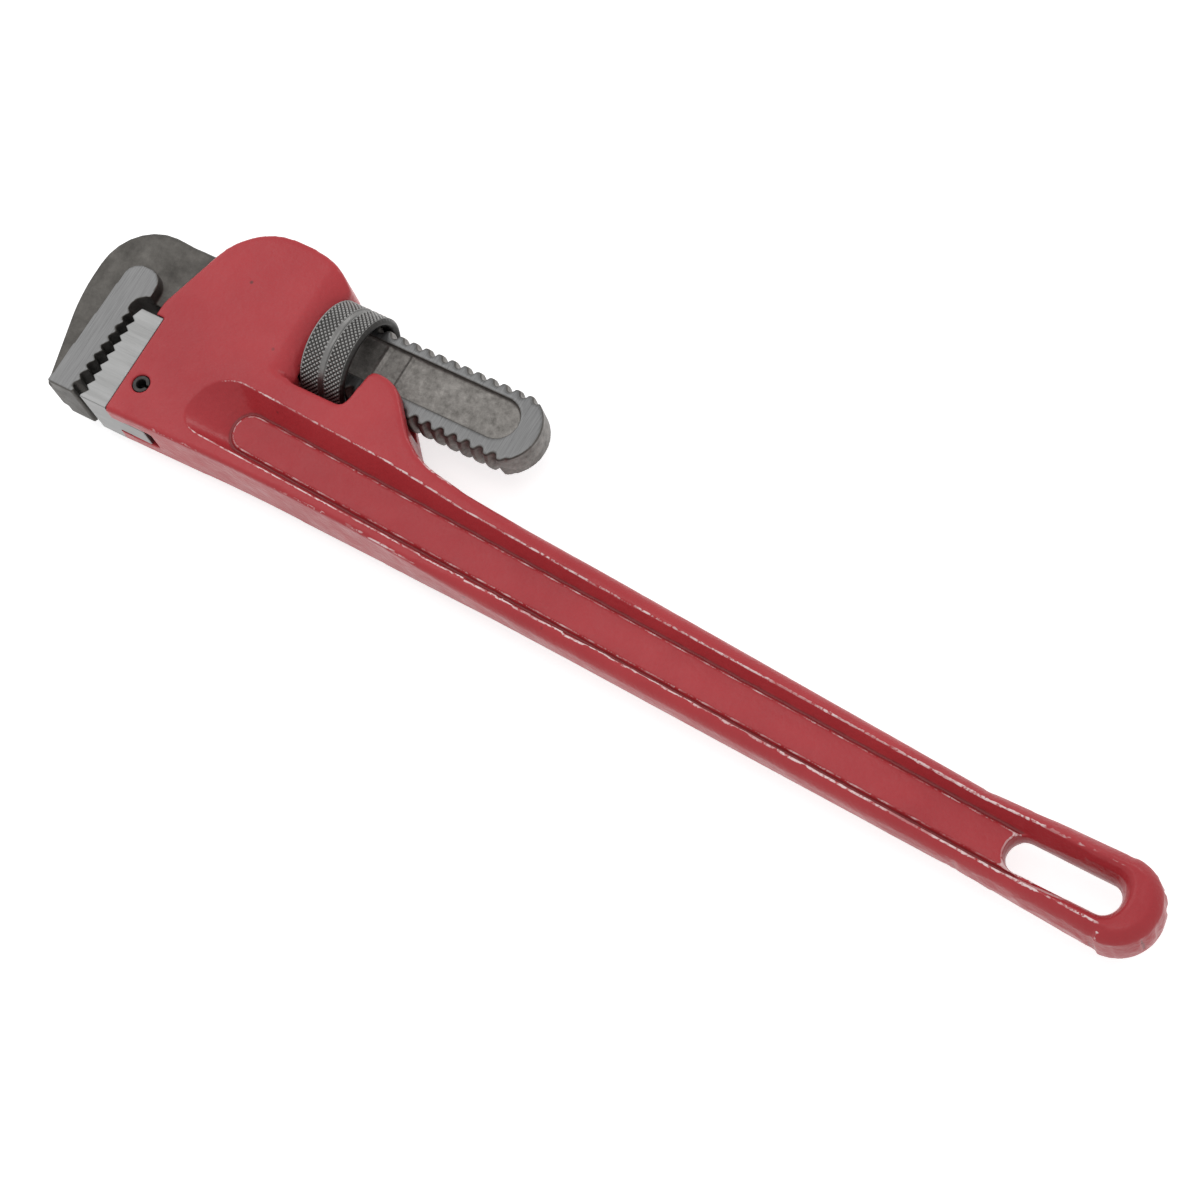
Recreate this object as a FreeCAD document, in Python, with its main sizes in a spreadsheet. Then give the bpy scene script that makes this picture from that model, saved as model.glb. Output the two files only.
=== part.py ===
import FreeCAD, Part
import os
import Sketcher
from FreeCAD import Placement, Rotation, Vector

# Pipe wrench, lying on its side, in millimetres.
# The drawing's X axis is the axis of the hook jaw's threaded shank, from the jaws to the handle's end,
# its YZ plane is the seat that backs the heel jaw, and its XY plane is the middle of the wrench's
# thickness. One placement then carries every piece to the part's own frame, whose origin is the middle
# of the wrench's box, at the height of the bench that it lies on.

SIZES = {
    # threaded shank of the hook jaw
    "shank_thick": 11.4,
    "crest_radius": 13.3,
    "root_radius": 11.6,
    "shank_end": 135.0,
    "shank_end_round": 12.3,
    "thread_start": 45.6,
    "thread_run_in": 2.0,
    "pitch": 5.08,
    "groove_mouth": 3.7,
    "groove_floor": 1.5,
    "groove_clear": 0.6,
    "groove_flare": 0.3,
    "groove_sweep": 80,
    "first_groove": 46.97,
    "groove_count": 17,
    "pocket_start": 0.0,
    "pocket_end": 127.5,
    "pocket_width": 14.6,
    "pocket_depth": 2.2,
    "pocket_rise": 0.9,
    # hook
    "hook_back": -35.2,
    "hook_round": 25.8,
    "hook_foot_x": -26.6,
    "hook_foot_lean": 2.2,
    "neck_step": 1.0,
    "neck_overlap": 2.0,
    "neck_start": 0.4,
    "hook_thick": 16.0,
    "jaw_thick": 23.4,
    "strip_left": -24.4,
    "boss_x": -15.8,
    "boss_y": -11.8,
    "boss_radius": 6.8,
    "throat_x": -13.8,
    "throat_top": -18.8,
    "throat_foot": -20.4,
    "throat_round": 4.9,
    # teeth of both jaws
    "hook_teeth_x": -12.2,
    "hook_teeth_top": -21.6,
    "jaw_flare": 0.06,
    "tooth_count": 8,
    "tooth_pitch": 4.0,
    "tooth_lead": 3.8,
    "tooth_depth": 1.7,
    "tooth_back": 1.3,
    "tooth_land": 0.3,
    "strip_foot_lean": 1.9,
    "jaw_foot": -54.8,
    # heel jaw
    "heel_height": 10.7,
    "heel_top": -18.5,
    "heel_bevel_x": 9.2,
    "heel_teeth_top": -22.3,
    "tenon_length": 12.9,
    "tenon_thick": 9.4,
    "tenon_top": -25.0,
    "tenon_gap": 0.15,
    "tenon_slot_gap": 3.0,
    "seat_gap": 0.05,
    "pin_radius": 3.0,
    "pin_bore": 1.7,
    "pin_slit": 0.9,
    "pin_x": 6.2,
    "pin_y": -41.9,
    "pin_sink": 0.4,
    # adjusting nut
    "nut_start": 52.1,
    "nut_length": 17.2,
    "nut_radius": 17.15,
    "nut_waist_depth": 0.9,
    "nut_waist_width": 3.0,
    "nut_chamfer": 1.2,
    "nut_mouth_chamfer": 1.6,
    "ridge_first_turn": 1.5,
    "ridge_inset": 2.25,
    "ridge_root": 0.4,
    "thread_play": 0.3,
    # head of the housing
    "head_thick": 23.4,
    "head_foot": -55.2,
    "nose_x": -3.6,
    "nose_y": -15.0,
    "nose_foot": -18.2,
    "brow_x": 4.6,
    "brow_y": 12.5,
    "brow_round": 25.6,
    "roof_top": 25.7,
    "roof_start": 27.0,
    "roof_end": 37.0,
    "roof_round": 18.0,
    "sleeve_end": 51.3,
    "sleeve_end_top": 18.9,
    "sleeve_bevel": 6.5,
    "sleeve_bevel_depth": 4.4,
    "channel_side_gap": 0.4,
    "channel_foot_gap": 2.2,
    "channel_top_gap": 1.4,
    "saddle_y": -19.4,
    "fork_x": 73.2,
    "fork_lean": 1.8,
    "fork_top": -4.1,
    "fork_top_end": 80.8,
    "fork_nib": 1.4,
    "fork_shoulder_x": 91.0,
    "fork_shoulder_y": -10.6,
    "fork_root_x": 103.4,
    "fork_root_y": -23.6,
    "fork_round": 13.0,
    "root_foot": -55.0,
    "belly_x": 52.0,
    "belly_foot": -54.0,
    # handle and hanging loop
    "neck_x": 126.0,
    "neck_top": -27.2,
    "neck_foot": -56.2,
    "neck_thick": 18.5,
    "mid_x": 180.0,
    "mid_top": -30.0,
    "mid_foot": -58.4,
    "mid_thick": 16.0,
    "tail_x": 316.0,
    "tail_top": -39.2,
    "tail_foot": -63.8,
    "tail_thick": 16.6,
    "loop_thick": 21.0,
    "loop_x": 340.0,
    "loop_end": 384.0,
    "loop_top": -38.2,
    "loop_foot": -66.1,
    "loop_foot_end": -68.3,
    "loop_round": 4.6,
    "edge_round": 2.4,
    "slot_start": 333.0,
    "slot_end": 370.6,
    "slot_top": -47.0,
    "slot_foot": -58.6,
    "slot_round": 5.6,
    "slot_mouth": 2.6,
    # channel sections along both faces
    "web_thick": 6.4,
    "panel_rise": 0.8,
    "recess_start": 24.4,
    "recess_round": 8.0,
    "recess_sweep": 12.0,
    "recess_sweep_round": 12.5,
    "recess_end": 336.0,
    "recess_head_top": -26.2,
    "recess_head_foot": -48.2,
    "recess_tail_top": -44.2,
    "recess_tail_foot": -61.0,
    "panel_start": 40.4,
    "panel_end": 334.0,
    "panel_head_top": -32.6,
    "panel_head_foot": -45.4,
    "panel_tail_top": -47.4,
    "panel_tail_foot": -59.0,
    # springs
    "leaf_thick": 0.8,
    "leaf_width": 9.0,
    "leaf_start": 9.0,
    "leaf_end": 41.0,
    "leaf_gap": 0.3,
    "spring_play": 0.03,
    "coil_x": 25.0,
    "coil_play": 0.12,
    "coil_radius": 3.4,
    "coil_wire": 0.5,
    "coil_turns": 5,
    "coil_pocket_gap": 0.5,
    "coil_pocket_depth": 10.0,
    # how far a cutting outline reaches past the surface it cuts, and what an arc has over half its chord
    "overcut": 2.0,
    "arc_spare": 0.001,
}

doc = FreeCAD.newDocument("pipe_wrench")
sheet = doc.addObject("Spreadsheet::Sheet", "Sizes")
for row, (alias, size) in enumerate(SIZES.items(), start=1):
    sheet.set(f"A{row}", alias)
    sheet.set(f"B{row}", str(size))
    sheet.setAlias(f"B{row}", alias)
doc.recompute()


def value(expression):
    found = sheet.evalExpression(expression)
    return float(getattr(found, "Value", found))


def size(alias):
    return value(f"Sizes.{alias}")


def newBody(label):
    body = doc.addObject("PartDesign::Body", label)
    body.Label = label
    body.setExpression("Placement.Base.x", "-(Sizes.hook_back + Sizes.loop_end) / 2")
    body.setExpression("Placement.Base.y", "-(Sizes.loop_foot_end + Sizes.roof_top) / 2")
    body.setExpression("Placement.Base.z", "Sizes.nut_radius")
    return body


def originFeature(body, role):
    return next(each for each in body.Origin.OriginFeatures if each.Role == role)


def newSketch(body, name, role, lift=None):
    sketch = body.newObject("Sketcher::SketchObject", name)
    sketch.AttachmentSupport = [(originFeature(body, role), "")]
    sketch.MapMode = "FlatFace"
    if lift:
        sketch.setExpression("AttachmentOffset.Base.z", lift)
    return sketch


def bind(sketch, constraint, expression):
    index = sketch.addConstraint(constraint)
    sketch.setExpression(f"Constraints[{index}]", expression)


def arcBetween(start, finish, radius, turn):
    # the shorter arc from start to finish: turn is 1 when its centre lies to the left, -1 to the right
    chord = finish - start
    left = Vector(-chord.y, chord.x, 0).normalize()
    rise = max(radius**2 - (chord.Length / 2) ** 2, 0) ** 0.5
    centre = (start + finish) / 2 + left * rise * turn
    first, last = (start, finish) if turn > 0 else (finish, start)
    circle = Part.Circle(centre, Vector(0, 0, 1), radius)
    return Part.ArcOfCircle(circle, circle.parameter(first), circle.parameter(last))


def drawOutline(sketch, corners):
    # closed outline: each corner is (x, y), or (x, y, radius, turn) when an arc leaves it
    spots = [Vector(value(corner[0]), value(corner[1]), 0) for corner in corners]
    ends = []
    for index, corner in enumerate(corners):
        start = spots[index]
        finish = spots[(index + 1) % len(spots)]
        if len(corner) == 4:
            line = sketch.addGeometry(arcBetween(start, finish, value(corner[2]), corner[3]))
            bind(sketch, Sketcher.Constraint("Radius", line, value(corner[2])), corner[2])
            ends.append((line, 1, 2) if corner[3] > 0 else (line, 2, 1))
        else:
            line = sketch.addGeometry(Part.LineSegment(start, finish))
            ends.append((line, 1, 2))
    for index, corner in enumerate(corners):
        line, first, last = ends[index]
        following, entry, _ = ends[(index + 1) % len(ends)]
        sketch.addConstraint(Sketcher.Constraint("Coincident", line, last, following, entry))
        spot = spots[index]
        bind(sketch, Sketcher.Constraint("DistanceX", -1, 1, line, first, spot.x), corner[0])
        bind(sketch, Sketcher.Constraint("DistanceY", -1, 1, line, first, spot.y), corner[1])


def drawCircle(sketch, x, y, radius):
    centre = Vector(value(x), value(y), 0)
    circle = sketch.addGeometry(Part.Circle(centre, Vector(0, 0, 1), value(radius)))
    bind(sketch, Sketcher.Constraint("DistanceX", -1, 1, circle, 3, centre.x), x)
    bind(sketch, Sketcher.Constraint("DistanceY", -1, 1, circle, 3, centre.y), y)
    bind(sketch, Sketcher.Constraint("Radius", circle, value(radius)), radius)


def rectangle(left, right, low, high):
    return [(left, low), (right, low), (right, high), (left, high)]


def addPad(body, name, sketch, length):
    pad = body.newObject("PartDesign::Pad", name)
    pad.Profile = sketch
    pad.SideType = "Symmetric"
    pad.setExpression("Length", length)
    doc.recompute()
    return pad


def addPocket(body, name, sketch, length, side="Symmetric", reversedWay=False):
    before = body.Shape.Volume
    pocket = body.newObject("PartDesign::Pocket", name)
    pocket.Profile = sketch
    pocket.SideType = side
    pocket.Reversed = reversedWay
    pocket.setExpression("Length", length)
    doc.recompute()
    if body.Shape.Volume >= before - 1e-6:
        raise RuntimeError(f"{name} cuts nothing")
    return pocket


def mirrorThickness(body, name, features):
    # the same features on the wrench's other face
    mirror = body.newObject("PartDesign::Mirrored", name)
    mirror.Originals = features
    mirror.MirrorPlane = (originFeature(body, "XY_Plane"), [""])
    body.Tip = mirror
    doc.recompute()
    return mirror


def pocketBothFaces(body, name, corners, floor):
    # a pocket from each face of the wrench down to the height `floor` from its middle plane
    sketch = newSketch(body, f"{name}Outline", "XY_Plane", floor)
    drawOutline(sketch, corners)
    pocket = addPocket(body, name, sketch, "Sizes.head_thick", "One side", True)
    return mirrorThickness(body, f"{name}Mirrored", [pocket])


def addGroove(body, name, sketch, angle=360):
    groove = body.newObject("PartDesign::Groove", name)
    groove.Profile = sketch
    groove.ReferenceAxis = (sketch, ["H_Axis"])
    groove.Midplane = True
    groove.Angle = angle
    before = body.Shape.Volume
    doc.recompute()
    if groove.Shape.Volume >= before - 1e-6:
        raise RuntimeError(f"{name} cuts nothing")
    return groove


def hookPlate(body):
    # the thin outer part of the hook, with the shank's neck let into it
    centre = "(Sizes.hook_back + Sizes.hook_round)"
    brow = "(Sizes.root_radius - Sizes.neck_step)"
    cheek = f"({brow} - Sizes.hook_round)"
    flank = (
        f"((Sizes.hook_foot_x - Sizes.hook_back)^2 + ({cheek} - Sizes.jaw_foot)^2)"
        " / (2 * (Sizes.hook_foot_x - Sizes.hook_back))"
    )
    sketch = newSketch(body, "HookOutline", "XY_Plane")
    drawOutline(sketch, [
        ("Sizes.hook_foot_x", "Sizes.jaw_foot"),
        ("Sizes.throat_x - Sizes.hook_foot_lean", "Sizes.jaw_foot"),
        ("Sizes.throat_x", "Sizes.throat_foot"),
        ("Sizes.throat_x", "Sizes.throat_top", "Sizes.throat_round", -1),
        ("Sizes.throat_x + Sizes.throat_round", "Sizes.throat_top + Sizes.throat_round"),
        ("Sizes.throat_x + Sizes.throat_round", brow),
        (centre, brow, "Sizes.hook_round", 1),
        ("Sizes.hook_back", cheek, flank, 1),
    ])
    return addPad(body, "HookPlate", sketch, "Sizes.hook_thick")


def hookStrip(body):
    # the thick ground strip that carries the teeth, ending in a round boss beside the throat
    corners = [
        ("Sizes.strip_left", "Sizes.jaw_foot"),
        ("Sizes.hook_teeth_x - Sizes.strip_foot_lean", "Sizes.jaw_foot"),
    ]
    teeth = []
    for tooth in range(round(size("tooth_count"))):
        tip = f"(Sizes.hook_teeth_top - Sizes.tooth_pitch * {tooth} - Sizes.tooth_lead)"
        lean = f"Sizes.hook_teeth_x - Sizes.jaw_flare * Sizes.tooth_pitch * {tooth}"
        teeth.append((f"{lean} - Sizes.tooth_depth", f"{tip} + Sizes.tooth_back"))
        teeth.append((lean, tip))
    corners += list(reversed(teeth))
    corners += [
        ("Sizes.hook_teeth_x", "Sizes.hook_teeth_top"),
        ("Sizes.throat_x", "Sizes.throat_foot"),
        ("Sizes.throat_x", "Sizes.throat_top", "Sizes.throat_round", -1),
        ("Sizes.throat_x + Sizes.throat_round", "Sizes.throat_top + Sizes.throat_round"),
        ("Sizes.boss_x + Sizes.boss_radius", "Sizes.boss_y", "Sizes.boss_radius + Sizes.arc_spare", 1),
        ("Sizes.boss_x - Sizes.boss_radius", "Sizes.boss_y"),
    ]
    sketch = newSketch(body, "StripOutline", "XY_Plane")
    drawOutline(sketch, corners)
    return addPad(body, "HookStrip", sketch, "Sizes.jaw_thick")


def shankBar(body):
    # flat bar whose two narrow edges are parts of one cylinder, with a round end
    sketch = newSketch(body, "ShankOutline", "XY_Plane")
    low = "-Sizes.crest_radius"
    high = "Sizes.crest_radius"
    turn = "Sizes.shank_end - Sizes.shank_end_round"
    neck = "(Sizes.root_radius - Sizes.neck_step)"
    inner = "Sizes.throat_x + Sizes.throat_round - Sizes.neck_overlap"
    start = "Sizes.throat_x + Sizes.throat_round + Sizes.neck_start"
    drawOutline(sketch, [
        (inner, f"-{neck}"),
        (start, f"-{neck}"),
        (start, low),
        (turn, low, "Sizes.crest_radius + Sizes.arc_spare", 1),
        (turn, high),
        (start, high),
        (start, neck),
        (inner, neck),
    ])
    addPad(body, "ShankBar", sketch, "Sizes.shank_thick")
    edge = newSketch(body, "ShankRoundOutline", "XY_Plane")
    far = "Sizes.crest_radius + Sizes.overcut"
    drawOutline(edge, [
        (start, "Sizes.root_radius"),
        ("Sizes.thread_start - Sizes.thread_run_in", "Sizes.root_radius"),
        ("Sizes.thread_start", "Sizes.crest_radius"),
        ("Sizes.shank_end + Sizes.overcut", "Sizes.crest_radius"),
        ("Sizes.shank_end + Sizes.overcut", far),
        (start, far),
    ])
    addGroove(body, "ShankRound", edge)


def threadEdge(body, name, side):
    # the thread crosses a narrow edge of the bar as slanted ring grooves, half a pitch apart on the two edges
    lean = f"atan(Sizes.pitch / (2 * pi * Sizes.crest_radius)) * {side}"
    phase = 0 if side > 0 else 0.5
    sketch = newSketch(body, f"{name}Outline", "XY_Plane")
    sketch.AttachmentOffset = Placement(Vector(0, 0, 0), Rotation(Vector(0, 1, 0), 1))
    sketch.setExpression("AttachmentOffset.Base.x", f"Sizes.first_groove + Sizes.pitch * {phase}")
    sketch.setExpression("AttachmentOffset.Rotation.Angle", lean)
    root = f"Sizes.root_radius * {side}"
    mouth = f"(Sizes.crest_radius + Sizes.groove_clear) * {side}"
    drawOutline(sketch, [
        ("-Sizes.groove_floor / 2", root),
        ("Sizes.groove_floor / 2", root),
        ("Sizes.groove_mouth / 2 + Sizes.groove_flare", mouth),
        ("-Sizes.groove_mouth / 2 - Sizes.groove_flare", mouth),
    ])
    groove = addGroove(body, name, sketch, size("groove_sweep"))
    pattern = body.newObject("PartDesign::LinearPattern", f"{name}Row")
    pattern.Originals = [groove]
    pattern.Direction = (originFeature(body, "X_Axis"), [""])
    pattern.Occurrences = round(size("groove_count"))
    pattern.setExpression("Length", "Sizes.pitch * (Sizes.groove_count - 1)")
    body.Tip = pattern
    doc.recompute()


def makeHookJaw():
    body = newBody("hook_jaw")
    hookPlate(body)
    hookStrip(body)
    shankBar(body)
    threadEdge(body, "UpperThread", 1)
    threadEdge(body, "LowerThread", -1)
    half = "Sizes.pocket_width / 2"
    low = f"Sizes.pocket_rise - {half}"
    high = f"Sizes.pocket_rise + {half}"
    left = f"Sizes.pocket_start + {half}"
    right = f"Sizes.pocket_end - {half}"
    corners = [
        (left, low),
        (right, low, f"{half} + Sizes.arc_spare", 1),
        (right, high),
        (left, high, f"{half} + Sizes.arc_spare", 1),
    ]
    pocketBothFaces(body, "ShankPocket", corners, "Sizes.shank_thick / 2 - Sizes.pocket_depth")
    return body


def makeHeelJaw():
    body = newBody("heel_jaw")
    back = "-Sizes.seat_gap"
    front = "-Sizes.heel_height"
    corners = [
        (back, "Sizes.jaw_foot"),
        (back, "Sizes.heel_top"),
        ("-Sizes.heel_bevel_x", "Sizes.heel_top"),
        (front, "Sizes.heel_teeth_top"),
    ]
    for tooth in range(round(size("tooth_count"))):
        tip = f"(Sizes.heel_teeth_top - Sizes.tooth_pitch * {tooth})"
        if tooth:
            corners.append((front, tip))
        corners.append((f"{front} + Sizes.tooth_depth", f"{tip} - Sizes.tooth_back"))
    corners += [
        (front, "Sizes.heel_teeth_top - Sizes.tooth_pitch * Sizes.tooth_count + Sizes.tooth_land"),
        (front, "Sizes.jaw_foot"),
    ]
    sketch = newSketch(body, "HeelOutline", "XY_Plane")
    drawOutline(sketch, corners)
    addPad(body, "HeelBlock", sketch, "Sizes.jaw_thick")
    tenon = newSketch(body, "TenonOutline", "XY_Plane")
    drawOutline(tenon, rectangle(
        "-Sizes.overcut", "Sizes.tenon_length", "Sizes.jaw_foot", "Sizes.tenon_top"
    ))
    addPad(body, "Tenon", tenon, "Sizes.tenon_thick")
    hole = newSketch(body, "PinHoleOutline", "XY_Plane")
    drawCircle(hole, "Sizes.pin_x", "Sizes.pin_y", "Sizes.pin_radius + Sizes.seat_gap / 2")
    addPocket(body, "PinHole", hole, "Sizes.jaw_thick * 2")
    return body


def makePin():
    # a rolled spring pin, slit along its length
    body = newBody("heel_jaw_pin")
    sketch = newSketch(body, "PinOutline", "XY_Plane")
    drawCircle(sketch, "Sizes.pin_x", "Sizes.pin_y", "Sizes.pin_radius")
    drawCircle(sketch, "Sizes.pin_x", "Sizes.pin_y", "Sizes.pin_bore")
    addPad(body, "Pin", sketch, "Sizes.head_thick - 2 * Sizes.pin_sink")
    slit = newSketch(body, "SlitOutline", "XY_Plane")
    half = "Sizes.pin_slit / 2"
    reach = "Sizes.pin_radius + Sizes.overcut"
    drawOutline(slit, rectangle(
        "Sizes.pin_x", f"Sizes.pin_x + {reach}", f"Sizes.pin_y - {half}", f"Sizes.pin_y + {half}"
    ))
    addPocket(body, "Slit", slit, "Sizes.head_thick")
    return body


def makeNut():
    body = newBody("adjusting_nut")
    start = "Sizes.nut_start"
    finish = "(Sizes.nut_start + Sizes.nut_length)"
    middle = "(Sizes.nut_start + Sizes.nut_length / 2)"
    bore = "(Sizes.crest_radius + 1.5 * Sizes.thread_play)"
    mouth = f"({bore} + Sizes.nut_mouth_chamfer)"
    outer = "Sizes.nut_radius"
    sketch = newSketch(body, "NutOutline", "XY_Plane")
    drawOutline(sketch, [
        (f"{start} + Sizes.nut_mouth_chamfer", bore),
        (f"{finish} - Sizes.nut_mouth_chamfer", bore),
        (finish, mouth),
        (finish, f"{outer} - Sizes.nut_chamfer"),
        (f"{finish} - Sizes.nut_chamfer", outer),
        (f"{middle} + Sizes.nut_waist_width / 2", outer),
        (f"{middle} + Sizes.nut_waist_width / 2 - Sizes.nut_waist_depth", f"{outer} - Sizes.nut_waist_depth"),
        (f"{middle} - Sizes.nut_waist_width / 2 + Sizes.nut_waist_depth", f"{outer} - Sizes.nut_waist_depth"),
        (f"{middle} - Sizes.nut_waist_width / 2", outer),
        (f"{start} + Sizes.nut_chamfer", outer),
        (start, f"{outer} - Sizes.nut_chamfer"),
        (start, mouth),
    ])
    turned = body.newObject("PartDesign::Revolution", "NutBlank")
    turned.Profile = sketch
    turned.ReferenceAxis = (sketch, ["H_Axis"])
    turned.Angle = 360
    doc.recompute()
    addNutThread(body, bore)
    return body


def addNutThread(body, bore):
    # the internal thread is one ridge that winds inward of the bore and runs in the shank's grooves
    slope = "((Sizes.groove_mouth - Sizes.groove_floor) / 2 / (Sizes.crest_radius - Sizes.root_radius))"
    tip = "(Sizes.root_radius + Sizes.thread_play)"
    foot = f"({bore} + Sizes.ridge_root)"
    tipHalf = f"(Sizes.groove_floor / 2 + {slope} * Sizes.thread_play - Sizes.thread_play)"
    footHalf = f"({tipHalf} + {slope} * ({foot} - {tip}))"
    start = "(Sizes.first_groove + Sizes.ridge_first_turn * Sizes.pitch)"
    sketch = newSketch(body, "RidgeOutline", "XY_Plane")
    drawOutline(sketch, [
        (f"{start} - {footHalf}", f"-{foot}"),
        (f"{start} + {footHalf}", f"-{foot}"),
        (f"{start} + {tipHalf}", f"-{tip}"),
        (f"{start} - {tipHalf}", f"-{tip}"),
    ])
    ridge = body.newObject("PartDesign::AdditiveHelix", "Ridge")
    ridge.Profile = sketch
    ridge.ReferenceAxis = (sketch, ["H_Axis"])
    ridge.Mode = 1
    ridge.setExpression("Pitch", "Sizes.pitch")
    ridge.setExpression("Turns", "(Sizes.nut_length - 2 * Sizes.ridge_inset) / Sizes.pitch")
    before = body.Shape.Volume
    doc.recompute()
    if body.Shape.Volume <= before:
        raise RuntimeError("the ridge adds nothing")


def headBlock(body):
    # side view of the casting's head: jaw seat, sleeve roof, nut gap and the fork that flanks the shank
    sketch = newSketch(body, "HeadOutline", "XY_Plane")
    drawOutline(sketch, [
        ("0", "Sizes.head_foot"),
        ("0", "Sizes.nose_foot"),
        ("Sizes.nose_x", "Sizes.nose_foot"),
        ("Sizes.nose_x", "Sizes.nose_y"),
        ("Sizes.brow_x", "Sizes.brow_y", "Sizes.brow_round", -1),
        ("Sizes.roof_start", "Sizes.roof_top"),
        ("Sizes.roof_end", "Sizes.roof_top", "Sizes.roof_round", -1),
        ("Sizes.sleeve_end", "Sizes.sleeve_end_top"),
        ("Sizes.sleeve_end", "Sizes.saddle_y"),
        ("Sizes.fork_x", "Sizes.saddle_y"),
        ("Sizes.fork_x + Sizes.fork_lean", "Sizes.fork_top - Sizes.fork_nib"),
        ("Sizes.fork_x + Sizes.fork_lean + Sizes.fork_nib", "Sizes.fork_top"),
        ("Sizes.fork_top_end", "Sizes.fork_top", "Sizes.fork_round", -1),
        ("Sizes.fork_shoulder_x", "Sizes.fork_shoulder_y"),
        ("Sizes.fork_root_x", "Sizes.fork_root_y"),
        ("Sizes.fork_root_x", "Sizes.root_foot"),
        ("Sizes.belly_x", "Sizes.belly_foot"),
    ])
    addPad(body, "Head", sketch, "Sizes.head_thick")


def handleSection(body, name, station, top, foot, thick, cut="Sizes.edge_round"):
    # a box section with its four corners cut off
    sketch = newSketch(body, name, "YZ_Plane", station)
    side = f"{thick} / 2"
    drawOutline(sketch, [
        (f"{foot} + {cut}", f"-{side}"),
        (f"{top} - {cut}", f"-{side}"),
        (top, f"-{side} + {cut}"),
        (top, f"{side} - {cut}"),
        (f"{top} - {cut}", side),
        (f"{foot} + {cut}", side),
        (foot, f"{side} - {cut}"),
        (foot, f"-{side} + {cut}"),
    ])
    return sketch


def handleBar(body):
    # the handle thins behind the head and swells again into the hanging loop
    first = handleSection(
        body, "RootSection", "Sizes.fork_root_x", "Sizes.fork_root_y", "Sizes.root_foot", "Sizes.head_thick"
    )
    sections = [
        handleSection(
            body, f"{name.capitalize()}Section", f"Sizes.{name}_x", f"Sizes.{name}_top", f"Sizes.{name}_foot",
            f"Sizes.{name}_thick", cut
        )
        for name, cut in (
            ("neck", "Sizes.edge_round"),
            ("mid", "Sizes.edge_round"),
            ("tail", "Sizes.edge_round"),
            ("loop", "Sizes.loop_round"),
        )
    ]
    loft = body.newObject("PartDesign::AdditiveLoft", "Handle")
    loft.Profile = first
    loft.Sections = sections
    loft.Ruled = True
    doc.recompute()
    turn = "(Sizes.loop_top - Sizes.loop_foot_end) / 2"
    corners = [
        ("Sizes.loop_x", "Sizes.loop_foot"),
        (f"Sizes.loop_end - {turn}", "Sizes.loop_foot_end", f"{turn} + Sizes.arc_spare", 1),
        (f"Sizes.loop_end - {turn}", "Sizes.loop_top"),
        ("Sizes.loop_x", "Sizes.loop_top"),
    ]
    sketch = newSketch(body, "LoopOutline", "XY_Plane")
    drawOutline(sketch, corners)
    addPad(body, "Loop", sketch, "Sizes.loop_thick - 2 * Sizes.loop_round")
    shoulder = newSketch(body, "ShoulderOutline", "XY_Plane", "Sizes.loop_thick / 2 - Sizes.loop_round")
    drawOutline(shoulder, corners)
    slope = body.newObject("PartDesign::Pad", "LoopShoulder")
    slope.Profile = shoulder
    slope.TaperAngle = -45
    slope.setExpression("Length", "Sizes.loop_round")
    doc.recompute()
    mirrorThickness(body, "LoopShoulderMirrored", [slope])


def sleeveBevels(body):
    # both faces fall away toward the nut
    sketch = newSketch(body, "BevelOutline", "XZ_Plane", "-(Sizes.saddle_y + Sizes.roof_top) / 2")
    face = "Sizes.head_thick / 2"
    drawOutline(sketch, [
        ("Sizes.sleeve_end - Sizes.sleeve_bevel", face),
        ("Sizes.sleeve_end", f"{face} - Sizes.sleeve_bevel_depth"),
        ("Sizes.sleeve_end + Sizes.overcut", f"{face} - Sizes.sleeve_bevel_depth"),
        ("Sizes.sleeve_end + Sizes.overcut", f"{face} + Sizes.overcut"),
        ("Sizes.sleeve_end - Sizes.sleeve_bevel", f"{face} + Sizes.overcut"),
    ])
    bevel = addPocket(body, "Bevel", sketch, "Sizes.roof_top - Sizes.saddle_y")
    mirrorThickness(body, "BevelMirrored", [bevel])


def shankPassage(body):
    # the sleeve is a box that the shank slides through, and the fork is open above
    play = "Sizes.shank_thick + 2 * Sizes.channel_side_gap"
    sleeve = newSketch(body, "SleeveOutline", "XY_Plane")
    drawOutline(sleeve, rectangle(
        "Sizes.nose_x - Sizes.overcut", "Sizes.sleeve_end + Sizes.overcut",
        "-Sizes.crest_radius - Sizes.channel_foot_gap", "Sizes.crest_radius + Sizes.channel_top_gap"
    ))
    addPocket(body, "Sleeve", sleeve, play)
    fork = newSketch(body, "ForkOutline", "XY_Plane")
    drawOutline(fork, rectangle(
        "Sizes.fork_x - Sizes.overcut", "Sizes.fork_root_x + 2 * Sizes.overcut",
        "-Sizes.crest_radius - Sizes.channel_foot_gap", "Sizes.fork_top + Sizes.overcut"
    ))
    addPocket(body, "Fork", fork, play)


def heelSeat(body):
    slot = newSketch(body, "TenonSlotOutline", "XY_Plane")
    drawOutline(slot, rectangle(
        "-Sizes.overcut", "Sizes.tenon_length + Sizes.tenon_slot_gap",
        "Sizes.head_foot - Sizes.overcut", "Sizes.tenon_top + Sizes.tenon_gap"
    ))
    addPocket(body, "TenonSlot", slot, "Sizes.tenon_thick + 2 * Sizes.tenon_gap")
    hole = newSketch(body, "CrossHoleOutline", "XY_Plane")
    drawCircle(hole, "Sizes.pin_x", "Sizes.pin_y", "Sizes.pin_radius + Sizes.seat_gap / 2")
    addPocket(body, "CrossHole", hole, "Sizes.head_thick * 2")


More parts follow.
